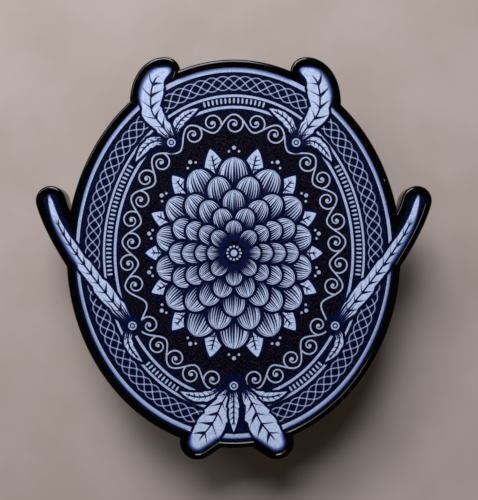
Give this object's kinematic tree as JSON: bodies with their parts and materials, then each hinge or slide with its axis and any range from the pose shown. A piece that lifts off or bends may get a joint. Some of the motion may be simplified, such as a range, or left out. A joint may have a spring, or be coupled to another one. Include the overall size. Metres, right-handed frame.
{
  "type": "lapel pin badge",
  "caption": "Oval lapel pin badge with a lobed outline, a raised gloss black rim round a printed ornamental face, and posts with rubber clutches behind.",
  "frame": {"origin": "middle of the outline's box, on the surface that the clutches stand on", "axes": "+Z out of the printed face, +Y towards the badge's top with the two horn lobes, +X to the right as the face is read"},
  "size_m": [0.049, 0.0498, 0.0078],
  "materials": {
    "black_nickel": "gloss black nickel plating on die-cast zinc",
    "printed_ink": "satin print, pale blue-grey on navy black",
    "black_rubber": "matte"
  },
  "bodies": {
    "root": {"badge_body": "black_nickel", "printed_face": "printed_ink", "clutch_left": "black_rubber", "clutch_right": "black_rubber"}
  },
  "joints": []
}
